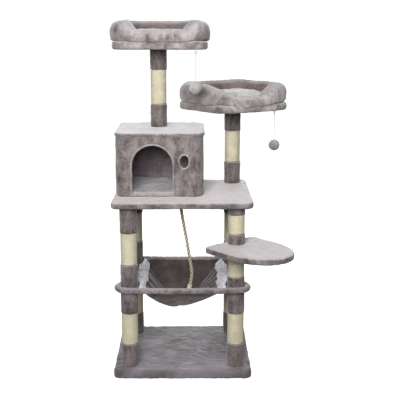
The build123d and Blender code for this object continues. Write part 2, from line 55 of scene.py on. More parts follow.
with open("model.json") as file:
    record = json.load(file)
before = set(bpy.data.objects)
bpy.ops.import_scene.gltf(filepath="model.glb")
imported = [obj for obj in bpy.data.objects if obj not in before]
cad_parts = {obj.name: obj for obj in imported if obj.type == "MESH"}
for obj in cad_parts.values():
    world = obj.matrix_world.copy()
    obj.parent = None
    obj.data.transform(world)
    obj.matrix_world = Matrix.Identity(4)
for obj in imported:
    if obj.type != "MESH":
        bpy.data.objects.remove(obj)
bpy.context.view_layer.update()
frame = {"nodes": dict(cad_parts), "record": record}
nodes = frame["nodes"]


# ---- camera, lights and floor
def linked(name, data):
    """New object in the scene that holds a mesh, curve, lamp or camera."""
    obj = bpy.data.objects.new(name, data)
    bpy.context.scene.collection.objects.link(obj)
    return obj


def look_camera():
    """Long lens 3.4 m in front of the tree, level with its top perch and tilted down."""
    turn = Matrix.Rotation(math.radians(-0.26), 3, "Z")
    tilt = Matrix.Rotation(math.radians(90 - 10.82), 3, "X")
    rig = linked("camera", bpy.data.cameras.new("camera"))
    rig.data.lens = 73.6
    rig.data.sensor_width = 36
    rig.data.shift_x = 0.0163
    rig.data.shift_y = -0.0365
    rig.rotation_euler = (turn @ tilt).to_euler()
    rig.location = turn @ Vector((0.0453, -3.3849, 1.4014))
    bpy.context.scene.camera = rig


def lamp(name, kind, power, heading):
    """New lamp of a kind that shines along a heading."""
    rig = linked(name, bpy.data.lights.new(name, kind))
    rig.data.energy = power
    rig.rotation_euler = Vector(heading).to_track_quat("-Z", "Y").to_euler()
    return rig


def area_light(name, place, target, size, power):
    """Square soft light at a place, aimed at a target and unseen by the camera."""
    rig = lamp(name, "AREA", power, Vector(target) - Vector(place))
    rig.data.size = size
    rig.data.spread = math.radians(100)
    rig.location = place
    rig.visible_camera = False


def wide_light(name, heading, spread, strength, colour):
    """Even light along a heading, as soft as a sky panel so many degrees wide."""
    rig = lamp(name, "SUN", strength, heading)
    rig.data.angle = math.radians(spread)
    rig.data.color = colour


def backdrop(tree, output, lit, seen):
    """Emit one strength of white as light and another as the picture's background."""
    path = tree.nodes.new("ShaderNodeLightPath")
    mix = tree.nodes.new("ShaderNodeMix")
    mix.inputs[2].default_value = lit
    mix.inputs[3].default_value = seen
    tree.links.new(path.outputs["Is Camera Ray"], mix.inputs[0])
    tree.links.new(mix.outputs[0], output)


def studio():
    """White sweep, a large soft light above the camera, weak light overhead and from behind."""
    scene = bpy.context.scene
    scene.view_settings.view_transform = "Standard"
    world = bpy.data.worlds.new("studio")
    world.use_nodes = True
    sky = world.node_tree.nodes["Background"]
    sky.inputs["Color"].default_value = (1.0, 0.98, 0.97, 1)
    backdrop(world.node_tree, sky.inputs["Strength"], WORLD_LIGHT, WHITE)
    scene.world = world
    wide_light("top", (-0.1, 0.25, -1.0), 85, TOP_LIGHT, (0.94, 0.965, 1.0))
    area_light("key", (-0.4, -3.3, 2.2), (0.0, 0.0, 1.45), 1.6, KEY_LIGHT)
    area_light("back", (0.5, 3.6, 1.5), (0.0, 0.0, 0.9), 2.2, BACK_LIGHT)

    half = 40
    mesh = bpy.data.meshes.new("floor")
    corners = [(-half, -half, 0), (half, -half, 0), (half, half, 0), (-half, half, 0)]
    mesh.from_pydata(corners, [], [(0, 1, 2, 3)])
    mesh.materials.append(floor_material())
    floor = linked("floor", mesh)


# ---- materials
DARK_AT = 0.42
LIGHT_AT = 0.58
# Cool tint of the painted top light on plush faces that look up.
PAINTED_TOP_TINT = (0.955, 1.005, 1.025)
# Brown tint of the painted shade on the inner wall of the perch rims.
INSIDE_SHADE_TINT = (1.05, 0.91, 0.89)


class Shader:
    """A new node material with its Principled shader, and short calls to add nodes."""

    def __init__(self, name, roughness=0.9):
        self.material = bpy.data.materials.new(name)
        self.material.use_nodes = True
        self.tree = self.material.node_tree
        self.bsdf = self.tree.nodes["Principled BSDF"]
        self.bsdf.inputs["Roughness"].default_value = roughness
        self.coords = self.tree.nodes.new("ShaderNodeTexCoord").outputs["Object"]

    def link(self, source, target):
        self.tree.links.new(source, target)

    def scaled(self, scale):
        """Object coordinates stretched along each axis."""
        node = self.tree.nodes.new("ShaderNodeMapping")
        node.inputs["Scale"].default_value = scale
        self.link(self.coords, node.inputs["Vector"])
        return node.outputs["Vector"]

    def noise(self, scale, detail=3.0, roughness=0.55, distortion=0.0, coords=None):
        node = self.tree.nodes.new("ShaderNodeTexNoise")
        values = {"Scale": scale, "Detail": detail, "Roughness": roughness, "Distortion": distortion}
        for name, value in values.items():
            node.inputs[name].default_value = value
        self.link(coords or self.coords, node.inputs["Vector"])
        return node.outputs["Fac"]

    def feed(self, value, socket):
        """Put a number, a colour or another node's output into a socket."""
        if isinstance(value, (int, float)):
            socket.default_value = value
        elif isinstance(value, tuple):
            socket.default_value = (*value, 1)
        else:
            self.link(value, socket)

    def math(self, operation, first, second):
        node = self.tree.nodes.new("ShaderNodeMath")
        node.operation = operation
        self.feed(first, node.inputs[0])
        self.feed(second, node.inputs[1])
        return node.outputs[0]

    def weighted(self, *parts):
        """Sum of (value, weight) pairs."""
        shares = [self.math("MULTIPLY", value, weight) for value, weight in parts]
        total = shares[0]
        for share in shares[1:]:
            total = self.math("ADD", total, share)
        return total

    def ramp(self, factor, stops):
        """Colour ramp through (position, colour) stops."""
        node = self.tree.nodes.new("ShaderNodeValToRGB")
        ramp = node.color_ramp
        while len(ramp.elements) < len(stops):
            ramp.elements.new(0.5)
        for element, (position, colour) in zip(ramp.elements, stops):
            element.position = position
            element.color = (*colour, 1)
        self.link(factor, node.inputs["Fac"])
        return node.outputs["Color"]

    def mix(self, factor, first, second, blend="MIX"):
        """Colour mixed from two others by a factor."""
        node = self.tree.nodes.new("ShaderNodeMix")
        node.data_type = "RGBA"
        node.blend_type = blend
        for value, socket in ((factor, 0), (first, 6), (second, 7)):
            self.feed(value, node.inputs[socket])
        return node.outputs[2]

    def bump(self, height, strength, distance):
        node = self.tree.nodes.new("ShaderNodeBump")
        node.inputs["Strength"].default_value = strength
        node.inputs["Distance"].default_value = distance
        self.link(height, node.inputs["Height"])
        self.link(node.outputs["Normal"], self.bsdf.inputs["Normal"])

    def colour(self, socket):
        self.link(socket, self.bsdf.inputs["Base Color"])

    def sheen(self, weight, roughness, tint):
        self.bsdf.inputs["Sheen Weight"].default_value = weight
        self.bsdf.inputs["Sheen Roughness"].default_value = roughness
        self.bsdf.inputs["Sheen Tint"].default_value = (*tint, 1)


def floor_material():
    """White paper that lights the object only by what it reflects."""
    shade = Shader("floor_paper", 0.8)
    grain = shade.noise(40, 2)
    shade.colour(shade.ramp(grain, [(0.0, (0.23, 0.23, 0.23)), (1.0, (0.27, 0.27, 0.27))]))
    shade.bsdf.inputs["Emission Color"].default_value = (1, 1, 1, 1)
    backdrop(shade.tree, shade.bsdf.inputs["Emission Strength"], 0.0, WHITE)
    return shade.material


def facing(shade, none, full, axis="Z"):
    """How far a face has turned towards an axis, from none to full of its normal's share."""
    upward = shade.tree.nodes.new("ShaderNodeSeparateXYZ")
    shade.link(shade.tree.nodes.new("ShaderNodeNewGeometry").outputs["Normal"], upward.inputs[0])
    rise = shade.tree.nodes.new("ShaderNodeMapRange")
    rise.interpolation_type = "SMOOTHSTEP"
    rise.inputs["From Min"].default_value = none
    rise.inputs["From Max"].default_value = full
    shade.link(upward.outputs[axis], rise.inputs["Value"])
    return rise.outputs["Result"]


def shifted(colour, factor, shift, most=1.0):
    """Colour times a factor and a shift of its channels, none above a limit."""
    return tuple(min(most, value * factor * share) for value, share in zip(colour, shift))


def plush_material(
    name, dark, light, streaks=(26, 26, 9), painted_top_light=1.75, painted_top_evenness=0.65, patch=(8, 0.36), lean=0.0
):
    """Brushed short-pile plush: soft patches where the nap lies over, streaks and fibre tips.

    Faces that look up are painted paler and cooler, a painted top light and sheen; lean paints a side light,
    -X faces darker and +X ones lighter; points marked inside get painted shade."""
    shade = Shader(name, 0.95)
    patch_scale, patch_share = patch
    patches = shade.noise(patch_scale, 3, 0.6, min(1.6, 0.2 * patch_scale))
    nap = shade.noise(1.0, 5, 0.75, 0.8, shade.scaled(streaks))
    tips = shade.noise(420, 2, 0.6)
    clumps = shade.noise(140, 4, 0.8)
    finer = 1 - patch_share
    tone = shade.weighted((patches, patch_share), (nap, finer * 0.55), (clumps, finer * 0.45))
    middle = tuple(0.52 * a + 0.48 * b for a, b in zip(dark, light))
    pile = shade.ramp(tone, [(DARK_AT, dark), (0.5, middle), (LIGHT_AT, light)])
    # Painted top light: faces that look up get a paler, cooler ramp, standing in for light from above and the
    # sheen of pile seen edge-on.
    level = tuple((1 - painted_top_evenness) * a + painted_top_evenness * b for a, b in zip(dark, light))
    stops = [(DARK_AT, shifted(level, painted_top_light, PAINTED_TOP_TINT)), (LIGHT_AT, shifted(light, painted_top_light, PAINTED_TOP_TINT, 0.9))]
    outer = shade.mix(facing(shade, 0.25, 0.95), pile, shade.ramp(tone, stops))
    # Painted shade: points marked inside, the inner wall of a perch rim, get a darker, browner ramp.
    stops = [(DARK_AT, shifted(dark, 0.62, INSIDE_SHADE_TINT)), (LIGHT_AT, shifted(light, 0.42, INSIDE_SHADE_TINT))]
    inner = shade.ramp(tone, stops)
    # Painted side light: faces turned to +X are painted lighter and faces turned to -X darker, by lean.
    painted_side_light = shade.mix(facing(shade, -0.9, 0.9, "X"), (1 - lean,) * 3, (1 + lean,) * 3)
    outer = shade.mix(1.0, outer, painted_side_light, "MULTIPLY")
    shade.colour(shade.mix(attribute(shade, "inside"), outer, inner))
    shade.bump(shade.weighted((clumps, 0.7), (tips, 0.5)), 0.75, 0.0030)
    shade.sheen(0.45, 0.4, (0.97, 0.95, 0.98))
    return shade.material


def sisal_material():
    """Pale sisal: straw fibres along the turns, darker between them."""
    shade = Shader("sisal", 0.8)
    fibres = shade.noise(1.0, 3, 0.7, 0.3, shade.scaled((160, 160, 900)))
    strands = shade.math("SINE", attribute(shade, "twist"), 0)
    patches = shade.noise(24, 2)
    stops = [(0.3, (0.42, 0.37, 0.25)), (0.5, (0.55, 0.505, 0.37)), (0.7, (0.645, 0.61, 0.485))]
    shade.colour(shade.ramp(shade.weighted((fibres, 0.6), (patches, 0.4)), stops))
    shade.bump(shade.weighted((fibres, 1.0), (strands, 0.35)), 0.6, 0.0014)
    shade.sheen(0.15, 0.5, (1, 0.98, 0.9))
    return shade.material


def attribute(shade, name):
    """Value that the mesh carries under a name."""
    node = shade.tree.nodes.new("ShaderNodeAttribute")
    node.attribute_name = name
    return node.outputs["Fac"]


def rope_material():
    """Twisted sisal: straw on the crests of the strands, with painted shade, near black, where they meet."""
    shade = Shader("rope_sisal", 0.85)
    fibres = shade.noise(1.0, 3, 0.7, 0.4, shade.scaled((700, 700, 220)))
    uneven = shade.math("MULTIPLY", shade.math("SUBTRACT", fibres, 0.5), 0.5)
    tone = shade.math("ADD", attribute(shade, "crest"), uneven)
    # Painted shade: low crest values, where the strands meet, go near black.
    stops = [(0.58, (0.050, 0.040, 0.026)), (0.84, (0.24, 0.205, 0.13)), (1.0, (0.60, 0.55, 0.41))]
    shade.colour(shade.ramp(tone, stops))
    shade.bump(fibres, 0.6, 0.0010)
    return shade.material


def cloth_material(name, dark, light, thread):
    """Fine woven cloth: two sets of threads, uneven dye and a soft sheen."""
    shade = Shader(name, 0.88)
    warp = shade.noise(1.0, 2, 0.5, 0.0, shade.scaled((thread, thread, thread * 0.12)))
    weft = shade.noise(1.0, 2, 0.5, 0.0, shade.scaled((thread * 0.12, thread * 0.12, thread)))
    patches = shade.noise(14, 3, 0.6, 0.6)
    weave = shade.weighted((warp, 0.5), (weft, 0.5))
    tone = shade.weighted((weave, 0.55), (patches, 0.45))
    shade.colour(shade.ramp(tone, [(0.35, dark), (0.65, light)]))
    shade.bump(weave, 0.5, 0.0008)
    shade.sheen(0.6, 0.3, (0.9, 0.84, 0.84))
    return shade.material


def sling_material():
    """Brown minky of the hammock with a short nap, and a painted highlight along each fold."""
    shade = Shader("hammock_cloth", 0.88)
    patches = shade.noise(14, 3, 0.6, 0.6)
    nap = shade.noise(160, 3, 0.7)
    tone = shade.weighted((patches, 0.6), (nap, 0.4))
    cloth = shade.ramp(tone, [(0.40, (0.040, 0.029, 0.028)), (0.60, (0.082, 0.062, 0.060))])
    outside = shade.ramp(tone, [(0.40, (0.115, 0.092, 0.092)), (0.60, (0.240, 0.205, 0.207))])
    # Painted highlight: cloth marked fold is painted pale along each fold crest.
    lit = shade.mix(attribute(shade, "fold"), cloth, (0.42, 0.38, 0.41))
    shade.colour(shade.mix(facing(shade, 0.05, -0.35), lit, outside))
    shade.bump(nap, 0.5, 0.0010)
    shade.sheen(0.5, 0.3, (0.9, 0.84, 0.86))
    return shade.material


def grained_material(name, dark, light, scale, roughness=0.8, metallic=0.0):
    """Plain grained solid: wood board, cardboard or plated steel."""
    shade = Shader(name, roughness)
    grain = shade.noise(1.0, 4, 0.6, 0.4, shade.scaled(scale))
    shade.colour(shade.ramp(grain, [(0.35, dark), (0.65, light)]))
    shade.bump(grain, 0.3, 0.0006)
    shade.bsdf.inputs["Metallic"].default_value = metallic
    return shade.material


# The top factor of each plush below sets how much paler its upward faces are painted, a painted top light.
PLUSH = plush_material("plush", (0.055, 0.043, 0.040), (0.252, 0.221, 0.216), painted_top_light=2.18, painted_top_evenness=0.75)
# Painted shade: a darker plush with little top lift, for the base under the deck and hammock and for the
# house floor; its coarse patches are the pile's own.
SHADED_BASE_PLUSH = plush_material(
    "base_plush_painted_shade", (0.060, 0.051, 0.050), (0.212, 0.184, 0.204), (12, 12, 9), 1.12, 0.0, (3.4, 0.62)
)
# Piping and rolled edges: the plush painted paler, a painted highlight on the rounded rolls.
HIGHLIGHTED_PIPING_PLUSH = plush_material("piping_plush_painted_highlight", (0.15, 0.127, 0.122), (0.36, 0.325, 0.32), painted_top_light=1.3)
# Painted light: a paler plush with a strong top lift, so the roof under the top perch looks lit.
LIT_ROOF_PLUSH = plush_material("roof_plush_painted_light", (0.090, 0.074, 0.070), (0.255, 0.228, 0.230), painted_top_light=2.5)
POST_PLUSH = plush_material("post_plush", (0.056, 0.045, 0.042), (0.200, 0.173, 0.168), (60, 60, 14))
# Perch plush has a lean of 0.26, a painted side light from +X.
PERCH_PLUSH = plush_material(
    "perch_plush", (0.120, 0.098, 0.094), (0.385, 0.346, 0.342), (18, 18, 26), 1.15, 0.65, (8, 0.45), 0.26
)
RAIL_PLUSH = plush_material("rail_plush", (0.090, 0.074, 0.070), (0.300, 0.266, 0.262), (40, 40, 40), 1.2)
PAD_PLUSH = plush_material("cushion_plush", (0.20, 0.18, 0.175), (0.46, 0.44, 0.435), (22, 22, 22), 1.2)
HEM_PLUSH = plush_material(
    "hem_plush", (0.22, 0.19, 0.21), (0.84, 0.79, 0.84), (90, 90, 90), 1.0, 0.3, (30, 0.4)
)
STRING = plush_material("string_cotton", (0.32, 0.315, 0.31), (0.42, 0.415, 0.41), painted_top_light=1.0)
TOP_POMPOM = plush_material("top_pompom_pile", (0.32, 0.30, 0.292), (0.62, 0.595, 0.585), painted_top_light=1.0)
SIDE_POMPOM = plush_material("side_pompom_pile", (0.22, 0.198, 0.203), (0.48, 0.452, 0.462), painted_top_light=1.0)
SISAL = sisal_material()
ROPE = rope_material()
HAMMOCK_CLOTH = sling_material()
LINING = cloth_material("lining_cloth", (0.12, 0.092, 0.104), (0.30, 0.250, 0.275), 260)
BOARD = grained_material("particle_board", (0.34, 0.24, 0.14), (0.50, 0.38, 0.24), (90, 90, 300))
CARDBOARD = grained_material("cardboard", (0.30, 0.21, 0.13), (0.40, 0.30, 0.20), (30, 30, 200))
STEEL = grained_material("zinc_steel", (0.48, 0.48, 0.49), (0.62, 0.62, 0.63), (60, 60, 900), 0.35, 1.0)
SLOT_MATERIALS = {
    "plush": PLUSH,
    "sisal": SISAL,
    "cardboard": CARDBOARD,
    "board": BOARD,
    "steel": STEEL,
    "string": STRING,
    "hammock_cloth": HAMMOCK_CLOTH,
    "lining_cloth": LINING,
    "top_pompom_pile": TOP_POMPOM,
    "side_pompom_pile": SIDE_POMPOM,
}


def dress_cad_nodes():
    """Every carried-over CAD node gets the material of its slot."""
    for part in frame["record"]["subparts"]:
        mesh = nodes[part["node"]].data
        mesh.materials.clear()
        mesh.materials.append(SLOT_MATERIALS[part["material_slot"]])


def stands_for(obj, node, body="root"):
    """An object takes the place of a CAD node, on its body; the node's own mesh is hidden."""
    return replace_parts(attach(obj, body), node)


# ---- mesh building
NAP = ((0.055, 0.0012), (0.020, 0.0013), (0.007, 0.0009))
PILE = 0.0012
COARSE = 1
SWELL_FRAMES = 20


def mesh_object(name, points, faces, material):
    """New smooth-shaded object made of points and faces."""
    mesh = bpy.data.meshes.new(name)
    mesh.from_pydata(np.asarray(points).tolist(), [], faces)
    mesh.materials.append(material)
    mesh.polygons.foreach_set("use_smooth", [True] * len(mesh.polygons))
    return linked(name, mesh)


def grid_faces(rows, columns, wrap_rows=False):
    """Quads of a grid whose columns close on themselves."""
    faces = []
    for row in range(rows if wrap_rows else rows - 1):
        low = row * columns
        high = (row + 1) % rows * columns
        for column in range(columns):
            beside = (column + 1) % columns
            faces.append((low + column, low + beside, high + beside, high + column))
    return faces


def capped_grid(name, rings, material):
    """Closed solid from a stack of rings, anticlockwise seen from above."""
    rows, columns = len(rings), len(rings[0])
    faces = grid_faces(rows, columns)
    faces.append(tuple(range(columns))[::-1])
    faces.append(tuple(range((rows - 1) * columns, rows * columns)))
    return mesh_object(name, np.vstack(rings), faces, material)


def get_points(mesh, what="co"):
    """Vertex coordinates or normals as an array."""
    values = np.empty(3 * len(mesh.vertices))
    mesh.vertices.foreach_get(what, values)
    return values.reshape(-1, 3)


def taken(obj):
    """Points and faces of an object, which is then removed."""
    piece = get_points(obj.data), [tuple(face.vertices) for face in obj.data.polygons]
    bpy.data.objects.remove(obj)
    return piece


def mark(obj, name, values):
    """Give each vertex a value under a name, for its material to read."""
    layer = obj.data.attributes.new(name, "FLOAT", "POINT")
    layer.data.foreach_set("value", values)


def turned(count):
    """Even angles round a circle."""
    return np.arange(count) * 2 * math.pi / count


def raised(flat, height=0.0):
    """Flat points at one height."""
    return np.column_stack((flat, np.full(len(flat), height)))


def unit(vectors):
    """Vectors of length one."""
    return vectors / np.linalg.norm(vectors, axis=1)[:, None]


def bell(value, width):
    """Smooth bump: one at zero, and almost nothing beyond two widths."""
    return np.exp(-((value / width) ** 2))


def smooth(low, high, value):
    """Smooth step from 0 at low to 1 at high."""
    part = np.clip((value - low) / (high - low), 0, 1)
    return part * part * (3 - 2 * part)


def set_points(mesh, points):
    """Move a mesh's vertices to new places."""
    mesh.vertices.foreach_set("co", np.ascontiguousarray(points).ravel())
    mesh.update()


def soft_noise(points, size, seed):
    """Smooth random values from -1 to 1 at points, in lumps of a given size."""
    cells = points / size + 19.7 * seed
    base = np.floor(cells).astype(np.int64)
    part = cells - base
    part = part * part * (3 - 2 * part)
    total = np.zeros(len(points))
    for corner in np.ndindex(2, 2, 2):
        key = (base + corner) @ np.array((73856093, 19349663, 83492791))
        key = ((key ^ (key >> 13)) * 1274126177) & 0x7FFFFFFF
        value = ((key ^ (key >> 15)) & 0xFFFF) / 32767.5 - 1
        total += value * np.prod(np.where(corner, part, 1 - part), axis=1)
    return total


def roughen(obj, layers, seed=0):
    """Move each vertex along its normal by layers of (lump size, height) noise."""
    points = get_points(obj.data)
    offset = np.zeros(len(points))
    for number, (size, height) in enumerate(layers):
        offset += height * soft_noise(points, size, seed + number)
    set_points(obj.data, points + get_points(obj.data, "normal") * offset[:, None])
    return obj


def evened(obj, voxel):
    """Give an object a mesh of even small quads over the same shape."""
    modifier = obj.modifiers.new("even", "REMESH")
    modifier.mode = "VOXEL"
    modifier.voxel_size = voxel
    modifier.use_smooth_shade = True
    return applied(obj)


def applied(obj):
    """Apply an object's modifiers."""
    graph = bpy.context.evaluated_depsgraph_get()
    mesh = bpy.data.meshes.new_from_object(obj.evaluated_get(graph), depsgraph=graph)
    obj.modifiers.clear()
    obj.data = mesh
    return obj


def thickened(obj, thickness, offset):
    """Give a cloth surface its thickness, inwards for an offset of -1."""
    solid = obj.modifiers.new("thick", "SOLIDIFY")
    solid.thickness = thickness
    solid.offset = offset
    return applied(obj)


def plumped(obj, voxel, pressure, cap, held):
    """Swell a soft piece as stuffed cloth from the points its seams hold, by no more than a cap."""
    evened(obj, voxel)
    before = get_points(obj.data)
    group = obj.vertex_groups.new(name="held")
    group.add(np.flatnonzero(held(before)).tolist(), 1.0, "REPLACE")
    cloth = obj.modifiers.new("cloth", "CLOTH")
    settings = cloth.settings
    settings.quality = 4
    settings.mass = 0.2
    settings.bending_stiffness = 0.4
    settings.use_pressure = True
    settings.uniform_pressure_force = pressure
    settings.effector_weights.gravity = 0
    settings.vertex_group_mass = "held"
    cloth.point_cache.frame_start = 1
    cloth.point_cache.frame_end = SWELL_FRAMES
    for frame_number in range(1, SWELL_FRAMES + 1):
        bpy.context.scene.frame_set(frame_number)
    applied(obj)
    bpy.context.scene.frame_set(1)
    obj.vertex_groups.clear()
    moved = get_points(obj.data) - before
    reach = np.linalg.norm(moved, axis=1)[:, None]
    set_points(obj.data, before + moved * np.minimum(1, cap / np.maximum(reach, 1e-9)))
    finer = obj.modifiers.new("finer", "SUBSURF")
    finer.levels = 1
    return applied(obj)


def even_outline(points, step):
    """Evenly spaced points along a closed outline, and its outward normals."""
    closed = np.vstack((points, points[:1]))
    along = np.concatenate(((0,), np.cumsum(np.hypot(*np.diff(closed, axis=0).T))))
    where = np.arange(round(along[-1] / step)) * along[-1] / round(along[-1] / step)
    even = np.column_stack([np.interp(where, along, closed[:, axis]) for axis in (0, 1)])
    ahead = np.roll(even, -1, 0) - np.roll(even, 1, 0)
    return even, np.column_stack((ahead[:, 1], -ahead[:, 0])) / np.hypot(*ahead.T)[:, None]


def rounded_rectangle(length, depth, corner, step):
    """Outline of a rounded rectangle about the origin, anticlockwise."""
    points = []
    for quarter, (side_x, side_y) in enumerate(((1, -1), (1, 1), (-1, 1), (-1, -1))):
        for angle in np.linspace(0, math.pi / 2, 17):
            heading = angle + (quarter - 1) * math.pi / 2
            x = side_x * (length / 2 - corner) + corner * math.cos(heading)
            y = side_y * (depth / 2 - corner) + corner * math.sin(heading)
            points.append((x, y))
    return even_outline(np.array(points), step)


def resampled(route, count):
    """How far along a route each of so many even points is, and those points."""
    along = np.concatenate(((0,), np.cumsum(np.linalg.norm(np.diff(route, axis=0), axis=1))))
    even = np.linspace(0, along[-1], count)
    return even, np.column_stack([np.interp(even, along, route[:, axis]) for axis in range(3)])


def slab(name, outline, bottom, top, edge, material, voxel=0.0045, seed=0, layers=NAP):
    """Plush-covered board: rolled edges and a soft uneven surface."""
    points, normals = outline
    points = points + normals * PILE
    arc = np.linspace(0, math.pi / 2, 6)
    profile = [(edge * (math.sin(angle) - 1), bottom + edge * (1 - math.cos(angle))) for angle in arc]
    profile += [(edge * (math.cos(angle) - 1), top - edge * (1 - math.sin(angle))) for angle in arc]
    rings = [raised(points + normals * inset, height) for inset, height in profile]
    obj = roughen(evened(capped_grid(name, rings, material), voxel * COARSE), layers, seed)
    points = get_points(obj.data)
    points[:, 2] = np.maximum(points[:, 2], bottom)
    set_points(obj.data, points)
    return obj


def frames_along(route, closed=False):
    """Unit tangent, normal and binormal at each point of a route, without twist."""
    route = np.asarray(route, float)
    if closed:
        tangents = np.roll(route, -1, 0) - np.roll(route, 1, 0)
    else:
        tangents = np.gradient(route, axis=0)
    tangents /= np.linalg.norm(tangents, axis=1)[:, None]
    start = np.cross(tangents[0], (0, 0, 1) if abs(tangents[0][2]) < 0.9 else (0, 1, 0))
    normals = [start / np.linalg.norm(start)]
    for tangent in tangents[1:]:
        normal = normals[-1] - tangent * (normals[-1] @ tangent)
        normals.append(normal / np.linalg.norm(normal))
    normals = np.array(normals)
    return tangents, normals, np.cross(tangents, normals)


def swept(name, route, radii, material, sides=24, closed=False, flat=1.0):
    """Tube along a route with a radius at each point; its section may be flattened."""
    route = np.asarray(route, float)
    _, normals, binormals = frames_along(route, closed)
    turns = turned(sides)
    rings = []
    for point, normal, binormal, radius in zip(route, normals, binormals, radii):
        around = np.outer(np.cos(turns), normal) * radius + np.outer(np.sin(turns), binormal) * radius * flat
        rings.append(point + around)
    if not closed:
        return capped_grid(name, rings, material)
    return mesh_object(name, np.vstack(rings), grid_faces(len(rings), sides, wrap_rows=True), material)


def rounded_ends(count, radius, length):
    """Radii of a tube of some length that closes in a half-ball at each end."""
    along = np.linspace(0, length, count)
    room = np.minimum(along, length - along)
    return radius * np.sqrt(np.clip(1 - (1 - np.clip(room / radius, 0.0, 1)) ** 2, 0.01, 1))


# ---- plush-covered boards
def oriented(outline, centre=(0, 0), turn=0.0):
    """An outline and its normals turned about the origin and moved."""
    cosine, sine = math.cos(turn), math.sin(turn)
    spin = np.array(((cosine, sine), (-sine, cosine)))
    return outline[0] @ spin + np.array(centre), outline[1] @ spin


def step_outline():
    """D-shaped step: an elliptical nose and a straight back edge with rounded corners."""
    half, corner = 0.136, 0.022
    angles = np.linspace(math.pi, 2 * math.pi, 90)
    nose = np.column_stack((half * np.cos(angles), -0.095 + 0.182 * np.sin(angles)))
    angles = np.linspace(0, math.pi / 2, 12)
    right = np.column_stack((half - corner + corner * np.cos(angles), 0.023 + corner * np.sin(angles)))
    left = np.column_stack((corner - half - corner * np.sin(angles), 0.023 + corner * np.cos(angles)))
    return oriented(even_outline(np.vstack((nose, right, left)), 0.004), (POST_X, -POST_Y), math.radians(40))


def covered_boards():
    """Base, deck, step and roof in plush wrapped round their boards."""
    plan = rounded_rectangle(*BASE_PLAN, 0.004)
    base = slab("base_plush_painted_shade", plan, 0, 0.0355, 0.009, SHADED_BASE_PLUSH, seed=1)
    deck = slab("deck_plush", plan, 0.707, DECK_PILE, 0.0085, PLUSH, seed=5)
    step = slab("step_plush", step_outline(), 0.526, 0.5525, 0.0085, PLUSH, seed=9)
    calm = ((0.07, 0.0014), (0.022, 0.0011), (0.006, 0.0005))
    roof = slab("roof_plush_painted_light", house_outline(-0.003), 0.9775, ROOF_TOP, 0.007, LIT_ROOF_PLUSH, 0.004, 13, calm)
    for obj, node in ((base, "base_cover"), (deck, "deck_cover"), (step, "step_cover"), (roof, "roof_cover")):
        stands_for(obj, node)


# ---- posts
SISAL_REACH = 0.0335
LOWER_TUBE = (0.035, 0.129, 0.262, 0.371)
UPPER_TUBE = (0.371, 0.465, 0.598, 0.707)
POSTS = {
    "front_left": ((-POST_X, -POST_Y), (LOWER_TUBE, UPPER_TUBE)),
    "back_left": ((-POST_X, POST_Y), (LOWER_TUBE, UPPER_TUBE)),
    "back_right": ((POST_X, POST_Y), (LOWER_TUBE, UPPER_TUBE)),
    "front_right": (
        (POST_X, -POST_Y),
        (LOWER_TUBE, (0.371, 0.413, 0.5258, 0.5258), (0.552, 0.592, 0.673, 0.707)),
    ),
    "top": ((-0.102, 0.097), ((ROOF_TOP, 1.088, 1.234, TOP_PERCH_Z),)),
    "side": ((POST_X, POST_Y), ((0.733, 0.827, 0.966, SIDE_PERCH_Z),)),
}


def sleeve(centre, low, high, seed):
    """Points and faces of one plush sleeve, turned in at both ends, with a seam at the back."""
    columns = 96
    around = turned(columns)
    rows = max(4, round((high - low - 0.004) / 0.003))
    profile = [(0.0290, low), (0.0335, low), (0.0348, low + 0.0006)]
    profile += [(0.0353, height) for height in np.linspace(low + 0.002, high - 0.002, rows)]
    profile += [(0.0348, high - 0.0006), (0.0335, high), (0.0290, high)]
    circle = np.column_stack((np.cos(around), np.sin(around)))
    points = np.vstack([raised(radius * circle, height) for radius, height in profile])
    reach = np.hypot(points[:, 0], points[:, 1])
    outward = raised(points[:, :2] / reach[:, None])
    push = 0.0008 * soft_noise(points, 0.03, seed) + 0.0005 * soft_noise(points, 0.009, seed + 1)
    push += 0.0003 * soft_noise(points, 0.004, seed + 2)
    push -= 0.0012 * bell(np.arctan2(points[:, 1], points[:, 0]) - math.pi / 2, 0.035)
    points += outward * np.where(reach > 0.034, push, 0)[:, None]
    return points + np.array((*centre, 0)), grid_faces(len(profile), columns)


def wound_band(centre, low, high, pitch=0.0055):
    """Points, faces and strand phase of a sisal rope wound round a post."""
    turns = max(2, round((high - low) / pitch))
    radius = (high - low) / turns / 2
    per_turn = 72
    count = (turns - 1) * per_turn + 1
    angle = np.arange(count) * 2 * math.pi / per_turn
    height = np.linspace(low + radius, high - radius, count)
    sides = 10
    section = turned(sides)
    reach = SISAL_REACH - radius * 1.02 + radius * 1.04 * -np.cos(section)
    points = np.empty((count, sides, 3))
    points[:, :, 0] = np.outer(np.cos(angle), reach) + centre[0]
    points[:, :, 1] = np.outer(np.sin(angle), reach) + centre[1]
    points[:, :, 2] = height[:, None] - radius * 1.04 * np.sin(section)[None, :]
    phase = angle[:, None] * 0.0315 / 0.0032 + 1.2 * section[None, :]
    return points.reshape(-1, 3), grid_faces(count, sides), phase.ravel()


def joined(name, pieces, material):
    """One object from several (points, faces) pieces."""
    points, faces, first = [], [], 0
    for piece_points, piece_faces in pieces:
        points.append(piece_points)
        faces += [tuple(first + corner for corner in face) for face in piece_faces]
        first += len(piece_points)
    return mesh_object(name, np.vstack(points), faces, material)


